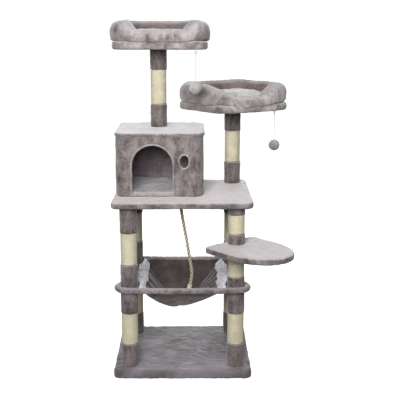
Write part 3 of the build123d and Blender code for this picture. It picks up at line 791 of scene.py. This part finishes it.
def dressed_posts():
    """Plush sleeves and wound sisal on every post."""
    for number, (name, (centre, tubes)) in enumerate(POSTS.items()):
        sleeves, bands, phases = [], [], []
        for low, start, end, high in tubes:
            sleeves.append(sleeve(centre, low, start, 40 * number + len(sleeves)))
            if high - end > 0.001:
                sleeves.append(sleeve(centre, end, high, 40 * number + len(sleeves)))
            points, faces, phase = wound_band(centre, start, end)
            bands.append((points, faces))
            phases.append(phase)
        plush = joined(f"{name}_post_plush", sleeves, POST_PLUSH)
        stands_for(plush, f"{name}_post_sleeves")
        rope = joined(f"{name}_post_rope", bands, SISAL)
        mark(rope, "twist", np.concatenate(phases))
        stands_for(rope, f"{name}_post_sisal")


# ---- house
FRONT_WALL_Y = -0.1372
EDGING_DEPTH = 0.0082


def house_outline(inset, step=0.004):
    """Plan of the house, so far inside its outer face."""
    length, depth, corner = HOUSE_PLAN
    plan = rounded_rectangle(length - 2 * inset, depth - 2 * inset, corner - inset, step)
    return oriented(plan, HOUSE_AT)


def arch_gap(x, z):
    """Distance outside the doorway's outline, negative inside it."""
    over = np.hypot(x - DOOR_X, z - ARCH_Z) - DOOR_HALF
    below = np.maximum(np.abs(x - DOOR_X) - DOOR_HALF, SILL_Z - z)
    return np.where(z > ARCH_Z, over, below)


def oval_gap(x, z):
    """Distance outside the window's outline, negative inside it."""
    scale = np.hypot((x - WINDOW_X) / 0.0195, (z - WINDOW_Z) / 0.0265)
    return (scale - 1) * 0.023


def skinned(name, inset, low, high, material, open_by, thick, shape):
    """Upright cloth skin of the house with its openings, given thickness inwards."""
    points, normals = house_outline(inset)
    rows = round((high - low) / 0.004) + 1
    flat = np.vstack([raised(points, height) for height in np.linspace(low, high, rows)])
    outward = np.tile(raised(normals), (rows, 1))
    push = shape(flat, outward)
    faces = []
    front = flat[:, 1] < -0.1
    for face in grid_faces(rows, len(points)):
        x, _, z = flat[list(face)].mean(axis=0)
        if front[face[0]] and min(arch_gap(x, z), oval_gap(x, z)) < open_by:
            continue
        faces.append(face)
    return thickened(mesh_object(name, flat + outward * push[:, None], faces, material), thick, -1)


def house_skin_shape(points, outward):
    """How far the outer plush stands out: loose puckers, seams by the door, a rolled foot."""
    x, _, z = points.T
    push = 0.0016 * soft_noise(points, 0.075, 61) + 0.0009 * soft_noise(points, 0.025, 62)
    push += 0.0004 * soft_noise(points, 0.008, 63)
    seams = (bell(x + 0.212, 0.0022) + bell(x + 0.030, 0.0022)) * (z < 0.868)
    pucker = bell(oval_gap(x, z), 0.016) * np.cos(7 * np.arctan2(z - WINDOW_Z, x - WINDOW_X))
    crease = bell(x - 0.010, 0.003) * bell(z - 0.838, 0.012)
    push += np.where(outward[:, 1] < -0.7, 0.0014 * pucker - 0.0016 * seams - 0.002 * crease, 0)
    push -= 0.0035 * np.clip((0.745 - z) / 0.012, 0, 1) ** 2
    push -= 0.0010 * np.clip((z - 0.968) / 0.008, 0, 1)
    return push - 0.0004


def lining_shape(points, outward):
    """Loose lining: soft vertical waves, and a hem that stands off above the floor."""
    z = points[:, 2]
    push = -0.0012 * (1 + soft_noise(points * (1, 1, 0.3), 0.05, 71)) - 0.0006 * soft_noise(points, 0.015, 72)
    return push - 0.004 * smooth(0.776, 0.779, z) * (1 - smooth(0.779, 0.84, z))


def edging(route, radius, sides=20, closed=False):
    """Points and faces of a stuffed plush edging in the front wall, pinched by its stitches."""
    along = np.arange(len(route))
    radii = radius * (1 + 0.07 * np.sin(along * 0.9) + 0.06 * np.sin(along * 0.33 + 1))
    roll = swept("edging", [(x, FRONT_WALL_Y, z) for x, z in route], radii, HIGHLIGHTED_PIPING_PLUSH, sides, closed)
    points, faces = taken(roll)
    points[:, 1] = FRONT_WALL_Y + (points[:, 1] - FRONT_WALL_Y) * EDGING_DEPTH / radius
    return points, faces


def house_pieces():
    """Outer plush, woven lining, floor, and the rolled edges of doorway and window."""
    skin = skinned("house_plush", 0, 0.7334, WALL_TOP, PLUSH, 0.0035, 0.0036, house_skin_shape)
    stands_for(skin, "house_cover")
    lining = skinned("house_lining_cloth", 0.0102, 0.7485, WALL_TOP, LINING, 0.0030, 0.0012, lining_shape)
    stands_for(lining, "house_lining")
    # The house floor wears the darker base plush, painted shade inside the house.
    floor = slab("house_floor_plush", house_outline(0.0118), DECK_PILE, 0.749, 0.003, SHADED_BASE_PLUSH, 0.004, 17)
    stands_for(floor, "house_floor")

    reach = DOOR_HALF + 0.0026
    angles = np.linspace(0, math.pi, 70)
    arch = [(DOOR_X + reach * math.cos(a), ARCH_Z + reach * math.sin(a)) for a in angles]
    foot = np.linspace(0.857, 0.7375, 36)
    route = [(DOOR_X + reach, z) for z in foot[::-1]] + arch + [(DOOR_X - reach, z) for z in foot]
    sill = [(x, 0.7440) for x in np.linspace(-0.2030, -0.0390, 44)]
    doorway = joined("doorway_roll", [edging(route, 0.0042), edging(sill, 0.0100)], HIGHLIGHTED_PIPING_PLUSH)
    angles = np.linspace(0, 2 * math.pi, 60, endpoint=False)
    oval = [(WINDOW_X + 0.0217 * math.cos(a), WINDOW_Z + 0.0287 * math.sin(a)) for a in angles]
    window = joined("window_roll", [edging(oval, 0.0040, closed=True)], HIGHLIGHTED_PIPING_PLUSH)
    for roll, node, seed in ((doorway, "doorway_binding", 81), (window, "window_binding", 83)):
        roughen(roll, ((0.02, 0.0005), (0.006, 0.0005)), seed)
        stands_for(roll, node)


# ---- perches
RIM_PLAN = (0.328, 0.306, 0.088)
RIM_STEP = 0.003
TOP_RIM = (0.0, 0.096, (0.052, 0.052), 0.036, 0.004, 0.013)
SIDE_RIM = (-0.045, 0.055, (0.170, 0.110), 0.050, 0.013, 0.017)
PERCHES = {
    "top": ((-0.092, 0.097, TOP_PERCH_Z), 0.0, TOP_RIM),
    "side": ((POST_X, POST_Y, SIDE_PERCH_Z), math.radians(35), SIDE_RIM),
}


def rim_dip(mid, along, dip_at, dip_half, slopes):
    """How low a rim lies at each point of its middle line: 1 in the dip, 0 beyond its slopes."""
    girth = len(mid) * RIM_STEP
    lowest = along[np.argmin(np.hypot(mid[:, 0] - dip_at, mid[:, 1] + RIM_PLAN[1] / 2))]
    apart = (along - lowest + girth / 2) % girth - girth / 2
    rise = np.clip((np.abs(apart) - dip_half) / np.where(apart < 0, slopes[0], slopes[1]), 0, 1)
    return (1 - rise) ** 2 * (1 + 0.6 * rise)


def inner_depth(points):
    """How far points lie inside the line along the middle of a rim."""
    length, depth, corner = RIM_PLAN
    beyond = np.abs(points[:, :2]) - (length / 2 - corner, depth / 2 - corner)
    return corner - np.hypot(*np.maximum(beyond, 0).T) - np.minimum(np.max(beyond, axis=1), 0)


def bolster(prefix, place, turn, dip_at, dip_half, slopes, drop, thin, hang_low, seed):
    """Stuffed rim: a round roll, low at the front, lumpy at the corners, gathered inside."""
    mid, normals = rounded_rectangle(*RIM_PLAN, RIM_STEP)
    count = len(mid)
    along = np.arange(count) * RIM_STEP
    sides, crest_side = 48, 14
    section = turned(sides)
    cosine, sine = np.cos(section), np.sin(section)
    dip = rim_dip(mid, along, dip_at, dip_half, slopes)
    flat = raised(mid)
    lumps = soft_noise(flat, 0.075, seed)
    corner = np.exp(-(((np.abs(mid[:, 0]) - 0.140) ** 2 + (np.abs(mid[:, 1]) - 0.130) ** 2) / 0.0020))
    half = 0.0415 + 0.0015 * lumps + 0.0030 * corner - thin * dip
    height = 0.087 - drop * dip + 0.0025 * lumps + 0.0025 * corner
    mid = mid + normals * (dip * (thin - 0.002))[:, None]
    hang = hang_low * (1 - 0.75 * corner) * (0.8 + 0.2 * soft_noise(flat, 0.06, seed + 1))
    phase = along / 0.033 + 0.25 * soft_noise(flat, 0.08, seed + 2)
    gather = bell(phase % 1 - 0.5, 0.11) * (0.7 + 0.3 * soft_noise(flat, 0.05, seed + 4))
    crimp = np.sin(along * 2 * math.pi / 0.013 + 2.5 * soft_noise(flat, 0.05, seed + 3))
    wall = np.sign(cosine) * np.abs(cosine) ** 0.93
    rise = 1 + np.sign(sine) * np.abs(sine) ** np.where(sine > 0, 0.95, 0.60)
    inner = smooth(0.05, 0.9, -cosine) * smooth(-1.0, 0.0, sine)
    foot = smooth(0.2, 0.9, -sine) * smooth(0.2, 0.9, np.abs(cosine))
    lip = smooth(0.62, 0.97, cosine) * smooth(-0.05, 0.40, -sine)
    rings = []
    for index in range(count):
        out = wall * half[index] + inner * (0.0060 * gather[index] + 0.0006 * crimp[index])
        out = out + 0.0012 * foot * crimp[index] * corner[index]
        up = height[index] / 2 * rise - hang[index] * lip
        rings.append(np.column_stack((mid[index] + np.outer(out, normals[index]), up)))
    faces = [face[::-1] for face in grid_faces(count, sides, wrap_rows=True)]
    points = np.vstack(rings)
    creases = points[(np.tile(-cosine, count) > 0.5) & (np.repeat(gather, sides) > 0.75)]
    tree = KDTree(len(creases))
    for number, point in enumerate(creases):
        tree.insert(point, number)
    tree.balance()

    def held(at):
        """Points near a gathering stitch, or where the rim rests on its board."""
        near = np.array([tree.find(point)[2] for point in at])
        return (near < 0.006) | (at[:, 2] < 0.010)

    roll = mesh_object(f"{prefix}_perch_rim", points, faces, PERCH_PLUSH)
    roll = taken(plumped(roll, 0.005 * COARSE, 4, 0.005, held))
    crest = [ring[crest_side] for ring in rings]
    piping = taken(swept("piping", crest, np.full(count, 0.0024), HIGHLIGHTED_PIPING_PLUSH, 10, closed=True))
    obj = joined(f"{prefix}_perch_rim", [roll, piping], PERCH_PLUSH)
    obj.data.materials.append(HIGHLIGHTED_PIPING_PLUSH)
    for face in obj.data.polygons[len(roll[1]) :]:
        face.material_index = 1
    at = get_points(obj.data)
    # Mark the rim's inner lower wall, to be painted in shade in the perch's hollow.
    mark(obj, "inside", smooth(0.012, 0.032, inner_depth(at)) * smooth(0.098, 0.070, at[:, 2] * 0.9 + 0.01))
    place_object(obj, place, turn)
    return obj


def place_object(obj, place, turn):
    """Turn a mesh about Z and move it, keeping its object at the origin."""
    spin = Matrix.Translation(place) @ Matrix.Rotation(turn, 4, "Z")
    obj.data.transform(spin)
    obj.data.update()


def perch_pieces():
    """Covered board, stuffed rim and cushion of both perches."""
    for number, (prefix, (place, turn, shape)) in enumerate(PERCHES.items()):
        x, y, bottom = place
        outline = oriented(rounded_rectangle(0.390, 0.368, 0.086, 0.004), (x, y), turn)
        top = bottom + 0.0335
        board = slab(f"{prefix}_perch_plush", outline, bottom, top, 0.011, PERCH_PLUSH, seed=21 + number)
        stands_for(board, f"{prefix}_perch_cover")
        rim = bolster(prefix, (x, y, bottom + 0.0278), turn, *shape, 31 + number)
        roughen(rim, ((0.03, 0.0010), (0.010, 0.0007), (0.005, 0.0004)), 33 + number)
        stands_for(rim, f"{prefix}_perch_bolster")
        outline = oriented(rounded_rectangle(0.243, 0.221, 0.052, 0.004), (x, y), turn)
        low, high = bottom + 0.0285, bottom + 0.072
        pad = slab(f"{prefix}_perch_cushion", outline, low, high, 0.018, PAD_PLUSH, 0.0045, 25 + number)
        pad = plumped(pad, 0.005 * COARSE, 4, 0.010, lambda at, foot=bottom + 0.032: at[:, 2] < foot)
        roughen(pad, ((0.05, 0.0012), (0.016, 0.0011), (0.006, 0.0007)), 27 + number)
        stands_for(pad, f"{prefix}_perch_pad")


# ---- hammock
RAIL_WRAP = 0.0485
BAG_HALF = 0.176


def rail_route(side):
    """Line of a padded rail: curled round both posts and straight between them."""
    bends = np.linspace(0, math.pi, 40)
    curl = [(RAIL_WRAP * math.sin(angle), side * (POST_Y - RAIL_WRAP * math.cos(angle))) for angle in bends]
    route = [(-POST_X - out, y, RAIL_Z) for out, y in curl[:-1]]
    route += [(x, side * (POST_Y + RAIL_WRAP), RAIL_Z) for x in np.linspace(-POST_X, POST_X, 110)]
    route += [(POST_X + out, y, RAIL_Z) for out, y in curl[-2::-1]]
    return np.array(route)


def rail(side, name):
    """Stuffed plush rail, slightly uneven, nipped where the hammock's stitching crosses it."""
    along, route = resampled(rail_route(side), 230)
    x = route[:, 0]
    route[:, 2] -= 0.002 * np.cos(x / POST_X * math.pi / 2) * (np.abs(x) < POST_X)
    radii = rounded_ends(len(route), 0.0122, along[-1])
    for nip in (-0.150, -0.1425, 0.118, 0.127, 0.136):
        radii *= 1 - 0.10 * bell(x - nip, 0.0018) * (np.abs(x) < 0.2)
    obj = swept(f"{name}_plush", route, radii, RAIL_PLUSH, 28)
    roughen(obj, ((0.03, 0.0008), (0.009, 0.0007), (0.004, 0.0004)), 91 + side)
    stands_for(obj, name)


BAG_RIM = 0.366
BAG_DEPTH = 0.144
FOLD_SIDES = (
    (-BAG_HALF, ((0.205, 0.015, 0.0100), (0.050, 0.010, 0.0085), (-0.045, 0.009, 0.0060))),
    (-BAG_HALF, ((-0.130, 0.012, 0.0060), (-0.210, 0.012, 0.0060))),
    (BAG_HALF, ((0.205, 0.015, 0.0100), (0.110, 0.010, 0.0080), (0.035, 0.008, 0.0085))),
    (BAG_HALF, ((-0.040, 0.010, 0.0065), (-0.125, 0.011, 0.0060), (-0.210, 0.012, 0.0060))),
    (-0.080, ((0.2235, 0.022, 0.0025),)),
    (0.060, ((0.2235, 0.026, 0.0025),)),
    (-0.060, ((-0.2235, 0.020, 0.0030),)),
    (0.070, ((-0.2235, 0.018, 0.0032),)),
)
FOLDS = [(x, *fold) for x, folds in FOLD_SIDES for fold in folds]


def bag_surface(rim, share):
    """Points of the sagging cloth, at a share of the way from its lowest point to its rim."""
    share = np.broadcast_to(share, len(rim))
    points = raised(rim * share[:, None])
    points[:, 0] -= 0.016 * (1 - share)
    power = 0.62 + 0.14 * smooth(0.02, 0.17, -rim[:, 0])
    points[:, 2] = BAG_RIM - BAG_DEPTH * (1 - (share**2 + 0.006) ** power)
    return points


def hammock_cloth():
    """Sagging cloth hung between the rails, with folds that run in from its gathered sides."""
    rim, _ = rounded_rectangle(2 * BAG_HALF - 0.002, 0.447, 0.014, 0.004 * COARSE)
    columns = len(rim)
    rows = round(64 / COARSE)
    shares = np.linspace(1.0, 0.012, rows)
    grid = np.vstack([bag_surface(rim, share) for share in shares])
    share = np.repeat(shares, columns)
    fold = np.zeros(columns)
    for x, y, width, height in FOLDS:
        apart = np.hypot(rim[:, 0] - x, rim[:, 1] - y) / width
        fold += height * (bell(apart, 1) - 0.35 * bell(apart, 2.2))
    strength = smooth(0.10, 0.60, share) * (1 - smooth(0.93, 1.0, share) * 0.7)
    crease = np.tile(np.clip(fold / 0.007, 0, 1), rows) * strength
    lift = np.tile(fold, rows) * strength + 0.0012 * soft_noise(grid, 0.045, 101)
    lift += 0.0010 * bell(share - 0.36, 0.05) + 0.0006 * soft_noise(grid, 0.014, 102)
    inward = unit(raised(-grid[:, :2], 0.10))
    faces = [face[::-1] for face in grid_faces(rows, columns)]
    faces.append(tuple(range((rows - 1) * columns, rows * columns)))
    obj = mesh_object("hammock_sling", grid + inward * lift[:, None], faces, HAMMOCK_CLOTH)
    # Painted highlight along the fold crests, patchy along their length.
    fold_highlight_patchiness = np.clip(0.62 + 0.55 * soft_noise(grid, 0.026, 103), 0.1, 1)
    mark(obj, "fold", np.clip(crease * 1.15 - 0.20, 0, 1) * fold_highlight_patchiness * 0.8)
    thickened(obj, 0.0016, 0)
    stands_for(obj, "hammock_bag")


def frill(side):
    """Points and faces of the gathered frill along one side of the hammock."""
    length = np.linspace(-0.2190, 0.2190, round(260 / COARSE))
    columns = len(length)
    wave = np.column_stack((length, np.full(columns, side), np.zeros(columns)))
    ruffle = np.sin(length * 2 * math.pi / 0.0115 + 2 * soft_noise(wave, 0.03, 115))
    ruffle += 0.5 * np.sin(length * 2 * math.pi / 0.0052 + 2 * soft_noise(wave, 0.02, 116))
    width = 0.145 + 0.03 * soft_noise(wave, 0.05, 117)
    edge = np.column_stack((np.full(columns, side * BAG_HALF), length))
    from_post = np.abs(length) - POST_Y
    free = smooth(0.040, 0.075, np.abs(from_post)) * (from_post < 0)
    rows = []
    for step in np.linspace(0, 1, 13):
        row = bag_surface(edge, 1.006 - width * step)
        row[:, 0] += side * 0.018 * free * (1 - min(step * 2, 1)) ** 1.5
        row[:, 2] += 0.0035 + 0.0045 * math.sin(math.pi * min(step * 2.2, 1) * 0.5)
        row[:, 2] += ruffle * 0.0026 * (0.4 + step)
        row[:, 0] -= side * ruffle * 0.0020 * (0.3 + step)
        rows.append(row)
    faces = []
    for row in range(len(rows) - 1):
        for first in range(row * columns, (row + 1) * columns - 1):
            quad = (first, first + 1, first + columns + 1, first + columns)
            faces.append(quad if side < 0 else quad[::-1])
    return np.vstack(rows), faces


def side_hems():
    """Gathered frills of pale plush that edge the hammock between the posts."""
    hems = joined("hammock_hems", [frill(-1), frill(1)], HEM_PLUSH)
    thickened(hems, 0.0055, -1)
    roughen(hems, ((0.008, 0.0008), (0.003, 0.0006)), 111)
    stands_for(hems, "hammock_side_hems")


# ---- toys and play rope
def pompom(name, centre, radius, count, material, seed):
    """Ball of cut pile: tapered fibres standing out of a small core."""
    random = np.random.default_rng(seed)
    golden = math.pi * (3 - math.sqrt(5))
    index = np.arange(count) + 0.5
    height = 1 - 2 * index / count
    level = np.sqrt(1 - height**2)
    out = np.column_stack((np.cos(golden * index) * level, np.sin(golden * index) * level, height))
    lean = unit(out + random.normal(0, 0.16, (count, 3)))
    root = out * radius * 0.55
    tip_reach = radius * (0.93 + 0.07 * random.random(count) + 0.02 * soft_noise(out, 0.5, seed))
    tip = lean * tip_reach[:, None]
    side = unit(np.cross(lean, (0.3, 0.5, 0.8)))
    other = np.cross(lean, side)
    pieces = []
    for share, wide in ((0.0, 0.0013), (0.75, 0.0012), (1.0, 0.0004)):
        centre_line = root + (tip - root) * share
        for angle in (0, 2 * math.pi / 3, 4 * math.pi / 3):
            pieces.append(centre_line + wide * (math.cos(angle) * side + math.sin(angle) * other))
    points = np.stack(pieces, axis=1).reshape(-1, 3)
    fibre = grid_faces(3, 3) + [(6, 7, 8)]
    faces = [tuple(first + corner for corner in face) for first in range(0, 9 * count, 9) for face in fibre]
    return mesh_object(name, points + np.array(centre), faces, material)


def nurbs_curve(name, points):
    """Open NURBS curve through its end points, three points to each bend."""
    curve = bpy.data.curves.new(name, "CURVE")
    curve.dimensions = "3D"
    spline = curve.splines.new("NURBS")
    spline.points.add(len(points) - 1)
    for control, point in zip(spline.points, points):
        control.co = (*point, 1)
    spline.order_u = 3
    spline.use_endpoint_u = True
    return linked(name, curve)


def toy_string(name, top, bottom):
    """Cotton string hanging straight from its eye to the pompom."""
    points = [(*top[:2], top[2] + (bottom[2] - top[2]) * share) for share in (0, 0.1, 0.5, 0.9, 1)]
    obj = nurbs_curve(name, points)
    obj.data.bevel_depth = 0.0009
    obj.data.bevel_resolution = 3
    obj.data.use_fill_caps = True
    obj.data.materials.append(STRING)
    return obj


def toys():
    """Pompoms on their strings, one under each perch."""
    for prefix, place, radius, ceiling, count, material, seed in (
        ("top", (0.054, -0.066, 1.169), 0.027, TOP_PERCH_Z, 3400, TOP_POMPOM, 7),
        ("side", (0.394, 0.122, 0.909), 0.024, SIDE_PERCH_Z, 2700, SIDE_POMPOM, 8),
    ):
        body = f"{prefix}_toy"
        ball = pompom(f"{prefix}_toy_ball", place, radius, count, material, seed)
        stands_for(ball, f"{prefix}_toy_pompom", body)
        top = (place[0], place[1], ceiling - 0.0185)
        bottom = (place[0], place[1], place[2] + radius - 0.010)
        string = toy_string(f"{prefix}_toy_cord", top, bottom)
        stands_for(string, f"{prefix}_toy_string", body)


ROPE_ROUTE = (
    (-0.009, -0.050, 0.6853),
    (-0.004, -0.050, 0.645),
    (0.005, -0.051, 0.592),
    (0.017, -0.052, 0.530),
    (0.026, -0.052, 0.468),
    (0.036, -0.050, 0.412),
    (0.039, -0.048, 0.372),
    (0.031, -0.047, 0.336),
)


def route_points(points, resolution=24):
    """Points that a NURBS route passes, from its own curve."""
    obj = nurbs_curve("route", points)
    obj.data.splines[0].resolution_u = resolution
    mesh = bpy.data.meshes.new_from_object(obj)
    found = get_points(mesh).copy()
    bpy.data.objects.remove(obj)
    return found


def play_rope():
    """Three-strand sisal rope that hangs from the deck into the hammock."""
    even, route = resampled(route_points(ROPE_ROUTE), 260)
    _, normals, binormals = frames_along(route)
    lay = even * 2 * math.pi / 0.052
    strand_radius, sides = 0.0034, 14
    pieces, crests = [], []
    for strand in range(3):
        turn = lay + strand * 2 * math.pi / 3
        line = route + strand_radius * (np.cos(turn)[:, None] * normals + np.sin(turn)[:, None] * binormals)
        points, faces = taken(swept("strand", line, np.full(len(line), strand_radius), ROPE, sides))
        crests.append(np.linalg.norm(points - np.repeat(route, sides, axis=0), axis=1) / (2 * strand_radius))
        pieces.append((points, faces))
    rope = joined("play_rope_strands", pieces, ROPE)
    roughen(rope, ((0.003, 0.0003),), 121)
    # Crest height of each strand, which the rope's material paints dark where strands meet, a painted shade.
    mark(rope, "crest", np.concatenate(crests))
    stands_for(rope, "play_rope", "play_rope")


look_camera()
studio()
dress_cad_nodes()
toys()
play_rope()
covered_boards()
dressed_posts()
house_pieces()
perch_pieces()
rail(-1, "hammock_front_rail")
rail(1, "hammock_back_rail")
hammock_cloth()
side_hems()
